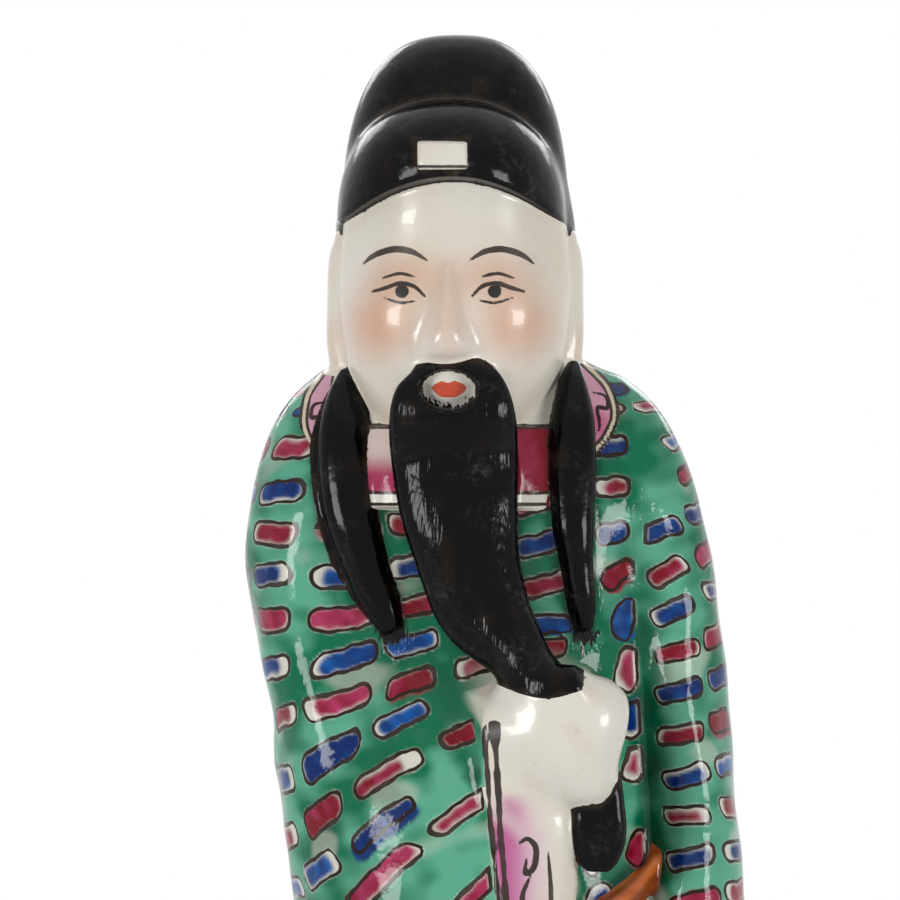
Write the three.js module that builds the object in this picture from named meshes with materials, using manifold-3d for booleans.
// A standing porcelain figure of a bearded immortal in a black scholar's cap and a wide-sleeved robe.
// The potter presses each part in its own mould and lutes the parts together with slip, so every
// part here is a solid of its own, cut to its neighbour with one luting seam between them.
// Millimetres, +Z up. The face looks along -Y, and +X is the viewer's right.

import * as THREE from "three";
import { mergeVertices } from "three/addons/utils/BufferGeometryUtils.js";
import Module from "manifold-3d";

const wasm = await Module();
wasm.setup();

// Driving dimensions

const SEAM = 0.3; // luting seam between two parts
const ROBE_WALL = 3.5;
const CAP_WALL = 2.6;
const CUFF_WALL = 1.9;
const HEAD_WALL = 3.2;

const ROBE_POWER = 2.2; // 2 is an ellipse, and more is squarer
const WAIST_HEIGHT = 95;
const CHIN_BELOW_NECKLINE = 16.9; // the head sinks between the shoulders
const PLEATS = 9; // vertical folds round the skirt, which die out at the waist
const PLEAT_DEPTH = 1.1;
const PARTING_Y = 0; // where the front and back mouldings meet

const SLAB_THICKNESS = 4;
const VENT_RADIUS = 6; // lets the kiln gases out of the hollow body

const NECK_RADIUS = 6.5; // the head's spigot
const NECK_BORE = 2.6; // vents the hollow head into the body
const SPIGOT_LENGTH = 5.5; // below the chin
const HEAD_HOLLOW_RISE = 15.5; // the head is solid up to here over the chin

// Lifts a list of stations, whose z is measured from a landmark, to that landmark's height.
const above = (height, stations) => stations.map((at) => ({ ...at, z: at.z + height }));

// Cross-sections of the skirt from the foot up to the waist, with z as a share of the waist's height.
// The stance leans to the viewer's right at the hips.
const SKIRT = [
  { z: 0, x: 3.5, y: 0, halfWidth: 28.5, halfDepth: 20.5 },
  { z: 0.1, x: 3.6, y: 0, halfWidth: 27.4, halfDepth: 19.8 },
  { z: 0.37, x: 4.2, y: 0, halfWidth: 24.8, halfDepth: 18.4 },
  { z: 0.68, x: 4.6, y: 0, halfWidth: 23.2, halfDepth: 17.4 },
];
// Cross-sections of the trunk from the waist up to the neckline.
const TRUNK = [
  { z: 0, x: 3.6, y: 0, halfWidth: 23.4, halfDepth: 17 },
  { z: 25, x: 1.6, y: 0, halfWidth: 24.4, halfDepth: 16.6 },
  { z: 47, x: 0, y: 0.3, halfWidth: 26, halfDepth: 16.4 },
  { z: 63, x: -1.3, y: 0.8, halfWidth: 27.6, halfDepth: 15.6 },
  { z: 72, x: -2, y: 1.4, halfWidth: 27.2, halfDepth: 13.8 },
  { z: 78, x: -2.3, y: 1.9, halfWidth: 24.7, halfDepth: 11.8 },
  { z: 82, x: -2.6, y: 2.3, halfWidth: 19.8, halfDepth: 9.6 },
  { z: 85, x: -3.1, y: 2.7, halfWidth: 14, halfDepth: 7.4 },
  { z: 87.4, x: -3.5, y: 3, halfWidth: 9.6, halfDepth: 5.4 },
];
const ROBE = [
  ...SKIRT.map((at) => ({ ...at, z: at.z * WAIST_HEIGHT })),
  ...above(WAIST_HEIGHT, TRUNK),
];
const NECKLINE_Z = ROBE.at(-1).z;
const CHIN_Z = NECKLINE_Z - CHIN_BELOW_NECKLINE;

// Cross-sections of the head, with z over the chin.
const HEAD = above(CHIN_Z, [
  { z: 0, x: -5.2, y: -8, halfWidth: 4.6, halfDepth: 5 },
  { z: 2.5, x: -5.2, y: -6.4, halfWidth: 8.8, halfDepth: 8.6 },
  { z: 6.5, x: -5.1, y: -5, halfWidth: 12.2, halfDepth: 12 },
  { z: 11.5, x: -5, y: -3.8, halfWidth: 14.9, halfDepth: 14.1 },
  { z: 18.5, x: -4.9, y: -3, halfWidth: 16.2, halfDepth: 15.2 },
  { z: 26.5, x: -4.9, y: -2.6, halfWidth: 16.3, halfDepth: 15.5 },
  { z: 34.5, x: -5, y: -2, halfWidth: 15, halfDepth: 15 },
  { z: 40.5, x: -5, y: -1.5, halfWidth: 12.3, halfDepth: 12.9 },
  { z: 44.5, x: -5, y: -1, halfWidth: 8.4, halfDepth: 9 },
  { z: 46.5, x: -5, y: -1, halfWidth: 3, halfDepth: 3.4 },
]);
const HEAD_POWER = 2.15;

// A plain generic nose, from the brow to the tip and back to the lip.
const NOSE = above(CHIN_Z, [
  { x: -6, y: -17.2, z: 27, halfWidth: 0.9, halfThick: 1 },
  { x: -6, y: -17.8, z: 23.5, halfWidth: 1.3, halfThick: 1.5 },
  { x: -6.1, y: -18.3, z: 19.5, halfWidth: 1.8, halfThick: 2 },
  { x: -6.1, y: -18.4, z: 16.1, halfWidth: 2.6, halfThick: 2.6 },
  { x: -6.1, y: -17.6, z: 13.9, halfWidth: 2.2, halfThick: 1.6 },
]);

// One long ear, drawn on the viewer's right as offsets from the head's middle, then mirrored.
const EAR = above(CHIN_Z, [
  { x: 16, y: 1, z: 31.5, halfWidth: 0.9, halfThick: 1.4 },
  { x: 16.3, y: 0.6, z: 28, halfWidth: 1.6, halfThick: 2.8 },
  { x: 16.4, y: 0.2, z: 21.5, halfWidth: 1.7, halfThick: 3 },
  { x: 16.2, y: -0.6, z: 15.5, halfWidth: 1.9, halfThick: 2.5 },
  { x: 15.5, y: -1.2, z: 11.9, halfWidth: 1.7, halfThick: 2 },
  { x: 14.6, y: -1.4, z: 10.1, halfWidth: 0.8, halfThick: 1 },
]);

// The cap has a low front and a taller crown behind it. brimDepth is how far a brim lies below the
// top of the head, and rise is the height over that brim.
const CAP_FRONT = {
  x: -5.5,
  y: -1.8,
  halfWidth: 16.2,
  halfDepth: 17.2,
  brimDepth: 7.4,
  rise: 11.6,
  power: 2.3,
};
const CAP_FRONT_ARCH = 6.4; // the brim rises this much over the forehead
const CAP_CROWN = {
  x: -4.9,
  y: 4.2,
  halfWidth: 16.1,
  halfDepth: 14.4,
  brimDepth: 15.2,
  rise: 28.4,
  power: 2.6,
};
const CAP_CROWN_NAPE = 9.3; // the brim drops this much at the back
const CROWN_FLARE = 0.06; // the crown's lower edge stands out by this share

// The pale tile on the front of the cap, over the brim.
const PLAQUE = { x: -6.7, width: 6.7, height: 3.7, thickness: 1.8, corner: 0.4 };
const PLAQUE_RISE = 2.9;
const PLAQUE_PROUD = 0.7; // how far it stands out of its recess

// The inner garment's collar.
const COLLAR = above(CHIN_Z, [
  { z: -7.1, x: -4.4, y: -1.4, halfWidth: 20, halfDepth: 16 },
  { z: -3.5, x: -4.4, y: -1.4, halfWidth: 19.6, halfDepth: 15.8 },
  { z: 0.5, x: -4.4, y: -1.6, halfWidth: 18.6, halfDepth: 15 },
  { z: 4.1, x: -4.4, y: -2, halfWidth: 17.4, halfDepth: 13.6 },
]);

// The beard falls from the lip over the chest, and its tip curls up on the covered hand.
// proud is how far its middle stands in front of the face or the chest behind it.
const BEARD = above(CHIN_Z, [
  { x: -6, z: 13.1, halfWidth: 4.4, halfThick: 1, proud: -0.2 },
  { x: -5.7, z: 10.5, halfWidth: 7.4, halfThick: 2.2, proud: 0.2 },
  { x: -5.4, z: 6, halfWidth: 8.8, halfThick: 3.4, proud: 1 },
  { x: -5, z: -0.5, halfWidth: 8.9, halfThick: 4, proud: 3.4 },
  { x: -4.3, z: -8, halfWidth: 8.2, halfThick: 4.1, proud: 3.1 },
  { x: -2.9, z: -15.5, halfWidth: 7.4, halfThick: 4, proud: 3.2 },
  { x: -0.2, z: -22.5, halfWidth: 6.3, halfThick: 3.7, proud: 3.8 },
  { x: 3.8, z: -28.1, halfWidth: 4.8, halfThick: 3.2, proud: 5.8 },
  { x: 8, z: -31.5, halfWidth: 3.1, halfThick: 2.6, proud: 8.2 },
  { x: 11.6, z: -31.3, halfWidth: 1.5, halfThick: 1.5, proud: 10.4 },
]);

// Two side locks fall from the jaw beside the beard.
const LOCK_RIGHT = above(CHIN_Z, [
  { x: -20.3, z: 12.1, halfWidth: 0.9, halfThick: 0.9, proud: 2.4 },
  { x: -20.5, z: 8.9, halfWidth: 2.3, halfThick: 1.9, proud: 2 },
  { x: -20.5, z: 4, halfWidth: 3.5, halfThick: 2.5, proud: 1.4 },
  { x: -20.2, z: -2.5, halfWidth: 3.8, halfThick: 2.6, proud: 1 },
  { x: -19.2, z: -9.5, halfWidth: 3.5, halfThick: 2.4, proud: 1 },
  { x: -17.2, z: -15.9, halfWidth: 3, halfThick: 2.1, proud: 0.9 },
  { x: -15.1, z: -20.9, halfWidth: 2.5, halfThick: 1.8, proud: 0.8 },
  { x: -13.7, z: -24.5, halfWidth: 1.5, halfThick: 1.2, proud: 0.6 },
]);
const LOCK_LEFT = above(CHIN_Z, [
  { x: 11.8, z: 13.1, halfWidth: 0.9, halfThick: 0.9, proud: 2.4 },
  { x: 11.6, z: 9.9, halfWidth: 2, halfThick: 1.8, proud: 2 },
  { x: 11.6, z: 5, halfWidth: 3, halfThick: 2.3, proud: 1.4 },
  { x: 11.6, z: -2, halfWidth: 3.3, halfThick: 2.4, proud: 1 },
  { x: 11.8, z: -9.5, halfWidth: 2.7, halfThick: 2.2, proud: 1 },
  { x: 12.4, z: -15.9, halfWidth: 2.2, halfThick: 1.9, proud: 0.9 },
  { x: 13, z: -20.9, halfWidth: 1.9, halfThick: 1.6, proud: 0.8 },
  { x: 13.2, z: -24.5, halfWidth: 1.3, halfThick: 1.1, proud: 0.6 },
]);

// The arm on the viewer's right hangs straight down, and its sleeve hides the hand.
const SLEEVE_LEFT = above(NECKLINE_Z, [
  { x: 13.6, y: 2.2, z: -9.4, halfWidth: 5, halfThick: 6 },
  { x: 18.9, y: 1.8, z: -18.4, halfWidth: 8, halfThick: 9.4 },
  { x: 22.6, y: 1.2, z: -30.4, halfWidth: 8.6, halfThick: 11.2 },
  { x: 24.7, y: 0.6, z: -43.4, halfWidth: 8, halfThick: 11.8 },
  { x: 26.8, y: -0.2, z: -60.4, halfWidth: 7.8, halfThick: 12 },
  { x: 28.2, y: -1, z: -78.4, halfWidth: 7.6, halfThick: 12.4 },
  { x: 28.6, y: -1.8, z: -98.4, halfWidth: 8, halfThick: 13.4 },
  { x: 28.4, y: -2.6, z: -118.4, halfWidth: 8.8, halfThick: 14.8 },
]);
// The arm on the viewer's left bends at the elbow, and its sleeve hangs from the forearm.
const UPPER_ARM_RIGHT = above(NECKLINE_Z, [
  { x: -18.2, y: 2.2, z: -9.8, halfWidth: 5.2, halfThick: 6.2 },
  { x: -23, y: 1.8, z: -18.4, halfWidth: 8.2, halfThick: 9.6 },
  { x: -25.9, y: 1, z: -28.9, halfWidth: 8.6, halfThick: 11.4 },
  { x: -25.2, y: 0, z: -41.4, halfWidth: 8, halfThick: 12 },
  { x: -22.8, y: -2, z: -54.4, halfWidth: 7, halfThick: 11 },
  { x: -20, y: -4, z: -66.4, halfWidth: 6, halfThick: 8 },
]);
// halfWidth is upright here, because this part runs across the figure.
const FOREARM_RIGHT = above(NECKLINE_Z, [
  { x: -28.8, y: -1.4, z: -65.4, halfWidth: 4.6, halfThick: 3 },
  { x: -27.7, y: -2.4, z: -69, halfWidth: 10.4, halfThick: 6.4 },
  { x: -24, y: -5.4, z: -73.8, halfWidth: 19.4, halfThick: 10 },
  { x: -17, y: -10.4, z: -78.4, halfWidth: 26.4, halfThick: 11.4 },
  { x: -9, y: -14.8, z: -82.4, halfWidth: 31, halfThick: 10.2 },
  { x: 0.6, y: -17.6, z: -86.1, halfWidth: 33.2, halfThick: 8.2 },
]);
const CUFF_DEPTH = 8; // how far each sleeve is hollow

// The hand is wrapped in the white under-sleeve, and the rest of that cloth hangs below it.
const COVERED_HAND = above(NECKLINE_Z, [
  { x: -6.4, y: -17.6, z: -64.9, halfWidth: 6, halfThick: 3.4 },
  { x: -1.6, y: -18.8, z: -62, halfWidth: 7.4, halfThick: 4.6 },
  { x: 3.4, y: -20.2, z: -58.6, halfWidth: 8.6, halfThick: 5.9 },
  { x: 8.6, y: -21.2, z: -56.6, halfWidth: 8.9, halfThick: 6.4 },
  { x: 12.9, y: -21.4, z: -56.4, halfWidth: 9.1, halfThick: 6.3 },
  { x: 15.9, y: -21.1, z: -56.8, halfWidth: 8.2, halfThick: 5.2 },
  { x: 17.3, y: -20.7, z: -57.2, halfWidth: 5.6, halfThick: 3.4 },
]);
const HAND_POWER = 2.35;
const UNDERSLEEVE = above(NECKLINE_Z, [
  { x: 3.6, y: -20.4, z: -60.4, halfWidth: 6.6, halfThick: 4.4 },
  { x: 4.4, y: -20.6, z: -70.4, halfWidth: 7.6, halfThick: 4.6 },
  { x: 4.5, y: -20.4, z: -80.4, halfWidth: 7.3, halfThick: 4.4 },
  { x: 4.2, y: -19.8, z: -91.4, halfWidth: 6.8, halfThick: 3.8 },
  { x: 3.8, y: -19.2, z: -100.4, halfWidth: 6, halfThick: 3.2 },
  { x: 3.4, y: -18.8, z: -105.4, halfWidth: 4.2, halfThick: 2.2 },
]);
// The dark end of what the hand holds, set into a socket under the fist.
const HELD_TABLET = above(NECKLINE_Z, [
  { x: 15.1, y: -21.6, z: -60.9, halfWidth: 3.1, halfThick: 2.1 },
  { x: 15.2, y: -21.8, z: -65.4, halfWidth: 3.5, halfThick: 2.3 },
  { x: 15.3, y: -21.8, z: -70.4, halfWidth: 3.7, halfThick: 2.3 },
  { x: 15, y: -21.6, z: -73.8, halfWidth: 2.8, halfThick: 1.9 },
  { x: 14.9, y: -21.5, z: -75, halfWidth: 1.6, halfThick: 1.2 },
]);
const TABLET_POWER = 3;

// The hoop belt hangs low in front.
const BELT_HEIGHT = 5;
const BELT_THICKNESS = 2;
const BELT_RISE = 19.8; // over the waist, at the back
const BELT_DIP = 17.5;
const BELT_FRONT_SWEEP = [-Math.PI + 0.2, -0.2]; // from one sleeve round to the other
const BELT_BACK_SWEEP = [0.2, Math.PI - 0.2];

const SHOE_SPACING = 17; // between the two toes
const SHOE_HALF_WIDTH = 6.1;
const SHOE_HALF_HEIGHT = 4.6;
const SHOE_LENGTH = 14;
const SHOE_TOE_PROUD = 7.4; // how far a toe stands out of the hem

// Colours of the glaze and the enamels

const porcelain = { color: 0xe4dfd2, roughness: 0.12, metalness: 0 };
const biscuit = { color: 0xcfc6b2, roughness: 0.75, metalness: 0 };
const greenEnamel = { color: 0x3f9c78, roughness: 0.12, metalness: 0 };
const blackEnamel = { color: 0x0e0d0c, roughness: 0.1, metalness: 0 };
const crimsonEnamel = { color: 0xa32a3c, roughness: 0.12, metalness: 0 };
const orangeEnamel = { color: 0xc96a1c, roughness: 0.15, metalness: 0 };

// Shape tools

const TAU = Math.PI * 2;
const power = (value, exponent) => Math.sign(value) * Math.abs(value) ** exponent;
const smooth = (low, high, value) => THREE.MathUtils.smoothstep(value, low, high);

// Reads a table of stations at one value of its key, along smooth curves through the stations.
function read(stations, key, at) {
  const last = stations.length - 1;
  let i = 0;
  while (i < last - 1 && at > stations[i + 1][key]) i += 1;
  const [before, low, high, after] = [i - 1, i, i + 1, i + 2].map(
    (k) => stations[THREE.MathUtils.clamp(k, 0, last)],
  );
  const span = high[key] - low[key];
  const t = THREE.MathUtils.clamp((at - low[key]) / span, 0, 1);
  const result = {};
  for (const name of Object.keys(low)) {
    const slopeLow = (high[name] - before[name]) / (high[key] - before[key]);
    const slopeHigh = (after[name] - low[name]) / (after[key] - low[key]);
    result[name] =
      (2 * t ** 3 - 3 * t ** 2 + 1) * low[name] +
      (t ** 3 - 2 * t ** 2 + t) * span * slopeLow +
      (3 * t ** 2 - 2 * t ** 3) * high[name] +
      (t ** 3 - t ** 2) * span * slopeHigh;
  }
  return result;
}

function solidOf(geometry) {
  const bare = geometry.clone();
  bare.deleteAttribute("normal");
  bare.deleteAttribute("uv");
  const merged = mergeVertices(bare, 1e-4);
  const solid = new wasm.Manifold(
    new wasm.Mesh({
      numProp: 3,
      vertProperties: new Float32Array(merged.attributes.position.array),
      triVerts: new Uint32Array(merged.index.array),
    }),
  );
  return solid;
}

// A closed solid over rings of points, with a fan over each end ring.
function skin(rings) {
  const sides = rings[0].length;
  const middle = (ring) =>
    ring.reduce((sum, p) => sum.add(p), new THREE.Vector3()).divideScalar(ring.length);
  const points = [...rings.flat(), middle(rings[0]), middle(rings.at(-1))];
  const [startTip, endTip] = [points.length - 2, points.length - 1];
  const lastRing = (rings.length - 1) * sides;
  let triangles = [];
  for (let s = 0; s < sides; s += 1) {
    const next = (s + 1) % sides;
    triangles.push([startTip, next, s], [endTip, lastRing + s, lastRing + next]);
    for (let r = 0; r < lastRing; r += sides) {
      triangles.push([r + s, r + next, r + sides + next], [r + s, r + sides + next, r + sides + s]);
    }
  }
  const volume = triangles.reduce((sum, [a, b, c]) => {
    const cross = new THREE.Vector3().crossVectors(points[b], points[c]);
    return sum + points[a].dot(cross);
  }, 0);
  if (volume < 0) triangles = triangles.map(([a, b, c]) => [a, c, b]);
  const geometry = new THREE.BufferGeometry().setFromPoints(points);
  geometry.setIndex(triangles.flat());
  return solidOf(geometry);
}

const brimOf = (cap) => HEAD.at(-1).z - cap.brimDepth;

// The outline of one level of a body that is built up from cross-sections.
function level(section, z, { sides, squareness, grow = 0, ripple = () => 0 }) {
  return Array.from({ length: sides }, (_, s) => {
    const angle = (s / sides) * TAU;
    const out = grow + ripple(angle, z);
    return new THREE.Vector3(
      section.x + (section.halfWidth + out) * power(Math.cos(angle), 2 / squareness),
      section.y + (section.halfDepth + out) * power(Math.sin(angle), 2 / squareness),
      z,
    );
  });
}

// A body built up from cross-sections, between two heights. Its levels crowd towards the top.
function stack(stations, { levels, crowd = 1, ...shape }) {
  const { from = stations[0].z, to = stations.at(-1).z } = shape;
  const rings = Array.from({ length: levels + 1 }, (_, k) => {
    const z = to - (to - from) * (1 - k / levels) ** crowd;
    return level(read(stations, "z", z), z, shape);
  });
  return skin(rings);
}

// The height of the front of a stacked body over the plane y = 0, at one place seen from the front.
function frontOf(stations, squareness, x, z) {
  const section = read(stations, "z", z);
  const share = Math.min(Math.abs(x - section.x) / section.halfWidth, 1);
  return section.y - section.halfDepth * (1 - share ** squareness) ** (1 / squareness);
}

// A bar that follows a line of stations. halfWidth is across the line, and halfThick faces out.
// An upright bar keeps its cross-sections square to the X axis.
function bar(stations, options) {
  const { sides, steps, grow = 0, from = 0, to = 1, squareness = 2 } = options;
  const { facing = () => new THREE.Vector3(0, -1, 0), upright = false } = options;
  let length = 0;
  const line = stations.map((station, i) => {
    const before = stations[Math.max(i - 1, 0)];
    length += Math.hypot(station.x - before.x, station.y - before.y, station.z - before.z);
    return { ...station, along: length };
  });
  const place = (along) => {
    const inside = THREE.MathUtils.clamp(along, 0, length);
    const here = read(line, "along", inside);
    const nudge = length * 1e-3;
    const [a, b] = [Math.max(inside - nudge, 0), Math.min(inside + nudge, length)].map((value) => {
      const { x, y, z } = read(line, "along", value);
      return new THREE.Vector3(x, y, z);
    });
    const forward = b.sub(a).normalize();
    if (upright) forward.set(Math.sign(forward.x), 0, 0);
    const centre = new THREE.Vector3(here.x, here.y, here.z);
    centre.addScaledVector(forward, along - inside);
    return { here, forward, centre };
  };
  const rings = Array.from({ length: steps + 1 }, (_, k) => {
    const beyond = (k === steps ? grow : 0) - (k === 0 ? grow : 0);
    const along = length * (from + ((to - from) * k) / steps) + beyond;
    const { here, forward, centre } = place(along);
    const out = facing(centre);
    out.addScaledVector(forward, -out.dot(forward)).normalize();
    const across = new THREE.Vector3().crossVectors(forward, out);
    return Array.from({ length: sides }, (_, s) => {
      const angle = (s / sides) * TAU;
      return centre
        .clone()
        .addScaledVector(across, (here.halfWidth + grow) * power(Math.cos(angle), 2 / squareness))
        .addScaledVector(out, (here.halfThick + grow) * power(Math.sin(angle), 2 / squareness));
    });
  });
  return skin(rings);
}

// A dome over a brim whose height changes round the head.
function dome(shape, brim, { sides, levels, grow = 0, flare = 0 }) {
  const top = brimOf(shape) + shape.rise;
  const rings = Array.from({ length: levels }, (_, k) => {
    const rise = (k / levels) * (Math.PI / 2);
    const reach = Math.cos(rise) ** (2 / shape.power);
    const lift = Math.sin(rise) ** (2 / shape.power);
    return Array.from({ length: sides }, (_, s) => {
      const angle = (s / sides) * TAU;
      const low = brimOf(shape) + brim(angle) - grow;
      const spread = reach * (1 + flare * (1 - smooth(0, 0.3, lift)));
      return new THREE.Vector3(
        shape.x + (shape.halfWidth + grow) * spread * Math.cos(angle),
        shape.y + (shape.halfDepth + grow) * spread * Math.sin(angle),
        low + (top + grow - low) * lift,
      );
    });
  });
  const crown = rings.at(-1).map((p) => {
    return new THREE.Vector3(shape.x, shape.y, 0).lerp(new THREE.Vector3(p.x, p.y, 0), 0.3);
  });
  rings.push(crown.map((p) => p.setZ(top + grow)));
  return skin(rings);
}

function rod(radius, x, y, low, high, sides = 32) {
  const geometry = new THREE.CylinderGeometry(radius, radius, high - low, sides);
  geometry.rotateX(Math.PI / 2);
  geometry.translate(x, y, (low + high) / 2);
  return solidOf(geometry);
}

function block(low, high) {
  const size = high.clone().sub(low);
  const geometry = new THREE.BoxGeometry(size.x, size.y, size.z);
  geometry.translate((low.x + high.x) / 2, (low.y + high.y) / 2, (low.z + high.z) / 2);
  return solidOf(geometry);
}

// Cuts the others away, and keeps the largest of what is left.
function cut(solid, ...others) {
  const rest = others.reduce((left, other) => left.subtract(other), solid);
  return rest.decompose().reduce((a, b) => (b.volume() > a.volume() ? b : a));
}

// The robe and its floor

const foot = ROBE[0];

function pleats(angle, z) {
  const fade = 1 - smooth(0, WAIST_HEIGHT, z);
  return PLEAT_DEPTH * fade * Math.cos(PLEATS * angle);
}

function robe(options = {}) {
  const shape = { sides: 45, squareness: ROBE_POWER, ripple: pleats };
  return stack(ROBE, { ...shape, levels: 18, crowd: 1.5, ...options });
}

const neck = { x: HEAD[0].x, y: HEAD.at(-1).y, foot: CHIN_Z - SPIGOT_LENGTH };
const headFloor = CHIN_Z + HEAD_HOLLOW_RISE;

function robeShell() {
  const hollow = stack(ROBE, {
    sides: 24,
    squareness: ROBE_POWER,
    levels: 8,
    from: -1,
    to: NECKLINE_Z - ROBE_WALL,
    grow: -ROBE_WALL,
  });
  const neckHole = rod(NECK_RADIUS + SEAM, neck.x, neck.y, neck.foot - 5, NECKLINE_Z + 10);
  return cut(robe(), hollow, neckHole);
}

function halfSpace(front) {
  const reach = 200;
  const low = new THREE.Vector3(-reach, front ? -reach : PARTING_Y + SEAM / 2, -reach);
  const high = new THREE.Vector3(reach, front ? PARTING_Y - SEAM / 2 : reach, NECKLINE_Z + reach);
  return block(low, high);
}

function baseSlab() {
  const plate = stack(ROBE, {
    sides: 24,
    squareness: ROBE_POWER,
    levels: 1,
    to: SLAB_THICKNESS,
    grow: -ROBE_WALL - SEAM,
  });
  return plate.subtract(rod(VENT_RADIUS, foot.x, foot.y, -1, SLAB_THICKNESS + 1));
}

// The head, the cap and the collar

const head = (options = {}) =>
  stack(HEAD, { sides: 28, squareness: HEAD_POWER, levels: 12, ...options });
const headMiddle = HEAD[4].x;
const noseBlank = (grow = 0) => bar(NOSE, { sides: 10, steps: 7, grow });

function hollowHead() {
  const hollow = stack(HEAD, {
    sides: 16,
    squareness: 2,
    levels: 5,
    from: headFloor,
    to: HEAD.at(-1).z - HEAD_WALL - 2,
    grow: -HEAD_WALL,
  });
  const spigot = rod(NECK_RADIUS, neck.x, neck.y, neck.foot, headFloor, 24);
  const bore = rod(NECK_BORE, neck.x, neck.y, neck.foot - 1, headFloor + 4, 12);
  const outside = cut(head().add(noseBlank()), robe({ grow: SEAM }), collarBlank(SEAM));
  return cut(outside.add(spigot), hollow, bore);
}

function ear(side, grow = 0) {
  const stations = EAR.map((station) => ({ ...station, x: headMiddle + side * station.x }));
  return bar(stations, { sides: 10, steps: 8, grow });
}

const capFrontBrim = (angle) => -CAP_FRONT_ARCH * Math.cos(angle) ** 2;
const capFrontBlank = (grow = 0) => dome(CAP_FRONT, capFrontBrim, { sides: 28, levels: 8, grow });

const capCrownBrim = (angle) => -CAP_CROWN_NAPE * Math.max(Math.sin(angle), 0) ** 2;
const capCrownBlank = (grow = 0, sides = 28) =>
  dome(CAP_CROWN, capCrownBrim, { sides, levels: 8, grow, flare: CROWN_FLARE });

function capCrown() {
  const hollow = capCrownBlank(-CAP_WALL, 16);
  return cut(capCrownBlank(), capFrontBlank(SEAM), head({ grow: SEAM }), hollow);
}

// Where the front of the cap is at one height, straight in front of the plaque.
function capFrontFace(z) {
  const lift = (z - brimOf(CAP_FRONT)) / CAP_FRONT.rise;
  const rise = Math.asin(THREE.MathUtils.clamp(lift, 0, 1) ** (CAP_FRONT.power / 2));
  return CAP_FRONT.y - CAP_FRONT.halfDepth * Math.cos(rise) ** (2 / CAP_FRONT.power);
}

function plaque(grow = 0) {
  const { height, thickness, corner } = PLAQUE;
  const [w, h] = [PLAQUE.width / 2 + grow, height / 2 + grow];
  const outline = new THREE.Shape();
  outline.moveTo(-w, -h).lineTo(w, -h).lineTo(w - corner, h).lineTo(-w + corner, h).closePath();
  const depth = thickness + 2 * grow;
  const geometry = new THREE.ExtrudeGeometry(outline, { depth, bevelEnabled: false });
  geometry.translate(0, 0, PLAQUE_PROUD - thickness - grow);
  const z = brimOf(CAP_FRONT) + PLAQUE_RISE;
  const [lowY, highY] = [-0.5, 0.5].map((side) => capFrontFace(z + side * height));
  geometry.rotateX(Math.PI / 2 - Math.atan2(highY - lowY, height));
  geometry.translate(PLAQUE.x, (lowY + highY) / 2, z);
  return solidOf(geometry);
}

function collarBlank(grow = 0) {
  const [low, high] = [COLLAR[0].z - grow, COLLAR.at(-1).z + grow];
  return stack(COLLAR, { sides: 36, squareness: 2, levels: 4, from: low, to: high, grow });
}

// The beard and the side locks

// Lays a line of stations over whichever of the face and the chest stands further forward.
function laidOn(stations) {
  return stations.map(({ proud, ...station }) => {
    const face = station.z > HEAD[0].z ? frontOf(HEAD, HEAD_POWER, station.x, station.z) : 0;
    const chest = frontOf(ROBE, ROBE_POWER, station.x, station.z);
    return { ...station, y: Math.min(face, chest) - proud };
  });
}

const beardBlank = (grow = 0) => bar(laidOn(BEARD), { sides: 16, steps: 15, grow });
const lockBlank = (stations, grow = 0) => bar(laidOn(stations), { sides: 10, steps: 11, grow });

// The sleeves, the covered hand and what it holds

const sleeveLeftBlank = (grow = 0) => bar(SLEEVE_LEFT, { sides: 22, steps: 12, grow });
const lengthOf = (stations) =>
  stations.slice(1).reduce((sum, b, i) => {
    const a = stations[i];
    return sum + Math.hypot(b.x - a.x, b.y - a.y, b.z - a.z);
  }, 0);

// The hollow end of a sleeve. grow widens or narrows it, and it runs out past the mouth.
function mouthOf(stations, sides, grow) {
  const depth = CUFF_DEPTH / lengthOf(stations);
  const reach = { from: 1 - depth, to: 1.1, upright: stations === FOREARM_RIGHT };
  return bar(stations, { sides, steps: 3, grow: -CUFF_WALL + grow, ...reach });
}

const forearmBlank = (grow = 0) =>
  bar(FOREARM_RIGHT, { sides: 24, steps: 10, grow, upright: true });
const sleeveRightBlank = (grow = 0) =>
  bar(UPPER_ARM_RIGHT, { sides: 20, steps: 8, grow }).add(forearmBlank(grow));
const cuffRoom = forearmBlank(SEAM).subtract(mouthOf(FOREARM_RIGHT, 24, -SEAM));

const handBlank = (grow = 0) =>
  bar(COVERED_HAND, { sides: 20, steps: 10, grow, squareness: HAND_POWER });
const tabletBlank = (grow = 0) =>
  bar(HELD_TABLET, { sides: 16, steps: 8, grow, squareness: TABLET_POWER });
const underSleeve = () => bar(UNDERSLEEVE, { sides: 16, steps: 8 });

// The belt and the shoes

const beltBack = WAIST_HEIGHT + BELT_RISE;

function belt(fromAngle, toAngle, grow = 0) {
  const count = 16;
  const stations = Array.from({ length: count + 1 }, (_, k) => {
    const angle = fromAngle + ((toAngle - fromAngle) * k) / count;
    const forward = Math.max(-Math.sin(angle), 0);
    const z = beltBack - BELT_DIP * forward ** 1.5;
    const section = read(ROBE, "z", z);
    return {
      x: section.x + section.halfWidth * power(Math.cos(angle), 2 / ROBE_POWER),
      y: section.y + section.halfDepth * power(Math.sin(angle), 2 / ROBE_POWER),
      z,
      halfWidth: BELT_HEIGHT / 2,
      halfThick: BELT_THICKNESS,
    };
  });
  const axis = read(ROBE, "z", beltBack);
  const facing = (p) => new THREE.Vector3(p.x - axis.x, p.y - axis.y, 0);
  return bar(stations, { sides: 8, steps: count, grow, facing, squareness: 4 });
}

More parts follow.
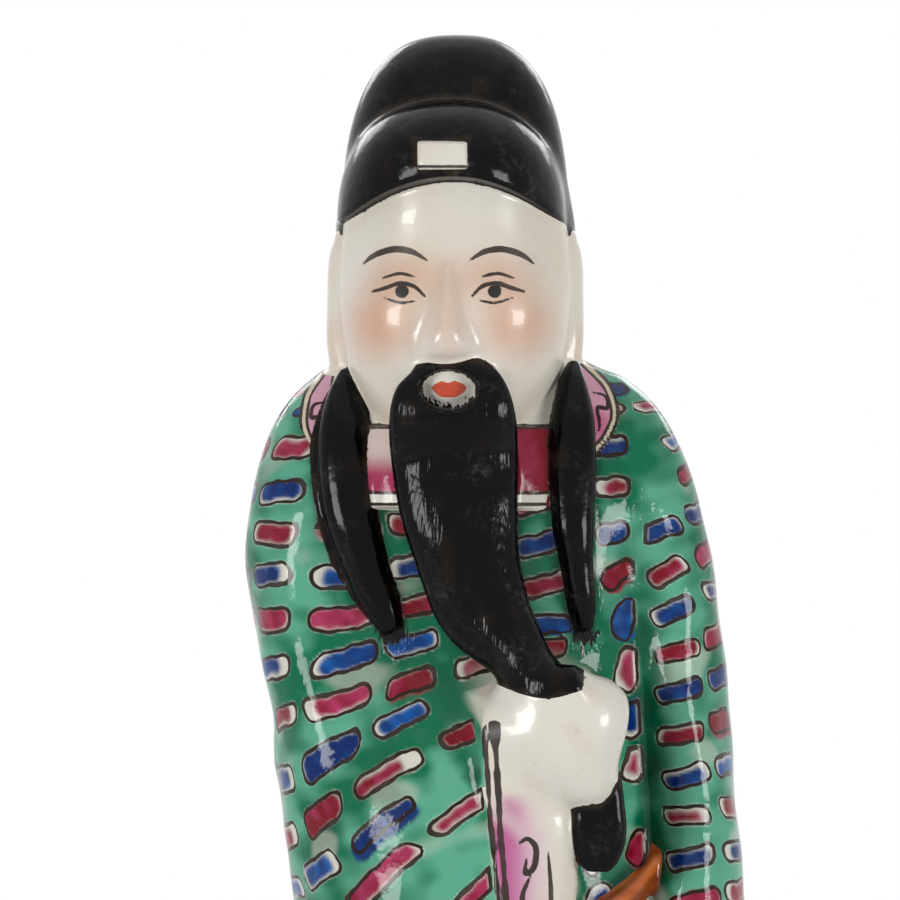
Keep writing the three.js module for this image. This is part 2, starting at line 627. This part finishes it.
function shoe(side) {
  const x = foot.x + (side * SHOE_SPACING) / 2;
  const toe = foot.y - foot.halfDepth - SHOE_TOE_PROUD;
  const z = SHOE_HALF_HEIGHT * 0.7;
  const station = (back, rise, share) => ({
    x,
    y: toe + back,
    z: z + rise,
    halfWidth: share * SHOE_HALF_WIDTH,
    halfThick: share * SHOE_HALF_HEIGHT,
  });
  const stations = [
    station(SHOE_LENGTH, 0, 1),
    station(5, 0, 1),
    station(1.6, 0.3, 0.82),
    station(0, 0.6, 0.45),
  ];
  const facing = () => new THREE.Vector3(0, 0, 1);
  const whole = bar(stations, { sides: 18, steps: 7, facing, squareness: 2.5 });
  const ground = block(new THREE.Vector3(-100, -100, -50), new THREE.Vector3(100, 100, 0));
  return cut(whole, ground, robe({ grow: SEAM, from: -1 }));
}

// Assembly

const figure = new THREE.Group();
const robeGroup = new THREE.Group();
const headGroup = new THREE.Group();
const armGroup = new THREE.Group();
figure.add(robeGroup, headGroup, armGroup);

// Adds a part to its group, with the part's own origin in its middle.
function addPart(group, name, solid, finish) {
  const { vertProperties, triVerts, numProp } = solid.getMesh();
  const geometry = new THREE.BufferGeometry();
  const stride = new THREE.InterleavedBuffer(vertProperties, numProp);
  geometry.setAttribute("position", new THREE.InterleavedBufferAttribute(stride, 3, 0));
  geometry.setIndex(new THREE.BufferAttribute(triVerts, 1));
  geometry.computeBoundingBox();
  const middle = geometry.boundingBox.getCenter(new THREE.Vector3());
  geometry.translate(-middle.x, -middle.y, -middle.z);
  const mesh = new THREE.Mesh(geometry, new THREE.MeshStandardMaterial(finish));
  mesh.name = name;
  mesh.position.copy(middle);
  group.add(mesh);
}

const shell = robeShell();
addPart(robeGroup, "robe_front_moulding", shell.intersect(halfSpace(true)), greenEnamel);
addPart(robeGroup, "robe_back_moulding", shell.intersect(halfSpace(false)), greenEnamel);
addPart(robeGroup, "base_slab", baseSlab(), biscuit);

const robeRoom = robe({ grow: SEAM });
const headRoom = head({ grow: SEAM });
const neckRoom = rod(NECK_RADIUS + SEAM, neck.x, neck.y, neck.foot - 5, headFloor);
addPart(headGroup, "head", hollowHead(), porcelain);
addPart(robeGroup, "inner_collar", cut(collarBlank(), robeRoom, neckRoom), crimsonEnamel);
addPart(headGroup, "cap_front", cut(capFrontBlank(), headRoom, plaque(SEAM)), blackEnamel);
addPart(headGroup, "cap_crown", capCrown(), blackEnamel);
addPart(headGroup, "cap_plaque", plaque(), porcelain);

const capRoom = [capFrontBlank(SEAM), capCrownBlank(SEAM)];
for (const [name, side] of [["ear_right", -1], ["ear_left", 1]]) {
  addPart(headGroup, name, cut(ear(side), headRoom, robeRoom, ...capRoom), porcelain);
}

const chestRoom = [robeRoom, headRoom, collarBlank(SEAM), noseBlank(SEAM)];
addPart(headGroup, "beard", cut(beardBlank(), ...chestRoom, handBlank(SEAM), cuffRoom), blackEnamel);
const sleeveRightRoom = sleeveRightBlank(SEAM);
const sleeveLeftRoom = sleeveLeftBlank(SEAM);
const lockRoom = [...chestRoom, ear(-1, SEAM), ear(1, SEAM), sleeveRightRoom, sleeveLeftRoom];
addPart(headGroup, "side_lock_right", cut(lockBlank(LOCK_RIGHT), ...lockRoom), blackEnamel);
addPart(headGroup, "side_lock_left", cut(lockBlank(LOCK_LEFT), ...lockRoom), blackEnamel);

const sleeveRight = cut(sleeveRightBlank(), robeRoom, headRoom, mouthOf(FOREARM_RIGHT, 24, 0));
addPart(armGroup, "sleeve_right", sleeveRight, greenEnamel);
const sleeveLeft = cut(sleeveLeftBlank(), robeRoom, headRoom, mouthOf(SLEEVE_LEFT, 22, 0));
addPart(armGroup, "sleeve_left", sleeveLeft, greenEnamel);

const hand = cut(handBlank(), robeRoom, cuffRoom, tabletBlank(SEAM));
addPart(armGroup, "covered_hand", hand, porcelain);
addPart(armGroup, "held_tablet", tabletBlank(), blackEnamel);

const beltRoom = belt(...BELT_FRONT_SWEEP, SEAM);
const clothRoom = [robeRoom, cuffRoom, handBlank(SEAM), tabletBlank(SEAM), beltRoom];
addPart(armGroup, "undersleeve", cut(underSleeve(), ...clothRoom), porcelain);
const beltSweeps = [["belt_front", BELT_FRONT_SWEEP], ["belt_back", BELT_BACK_SWEEP]];
for (const [name, sweep] of beltSweeps) {
  const hoop = cut(belt(...sweep), robeRoom, sleeveRightRoom, sleeveLeftRoom);
  addPart(robeGroup, name, hoop, orangeEnamel);
}
for (const [name, side] of [["shoe_right", -1], ["shoe_left", 1]]) {
  addPart(robeGroup, name, shoe(side), blackEnamel);
}

// The origin is under the middle of the whole figure, on the surface that it stands on.
const bounds = new THREE.Box3().setFromObject(figure);
const middle = bounds.getCenter(new THREE.Vector3());
figure.position.set(-middle.x, -middle.y, 0);

export default figure;
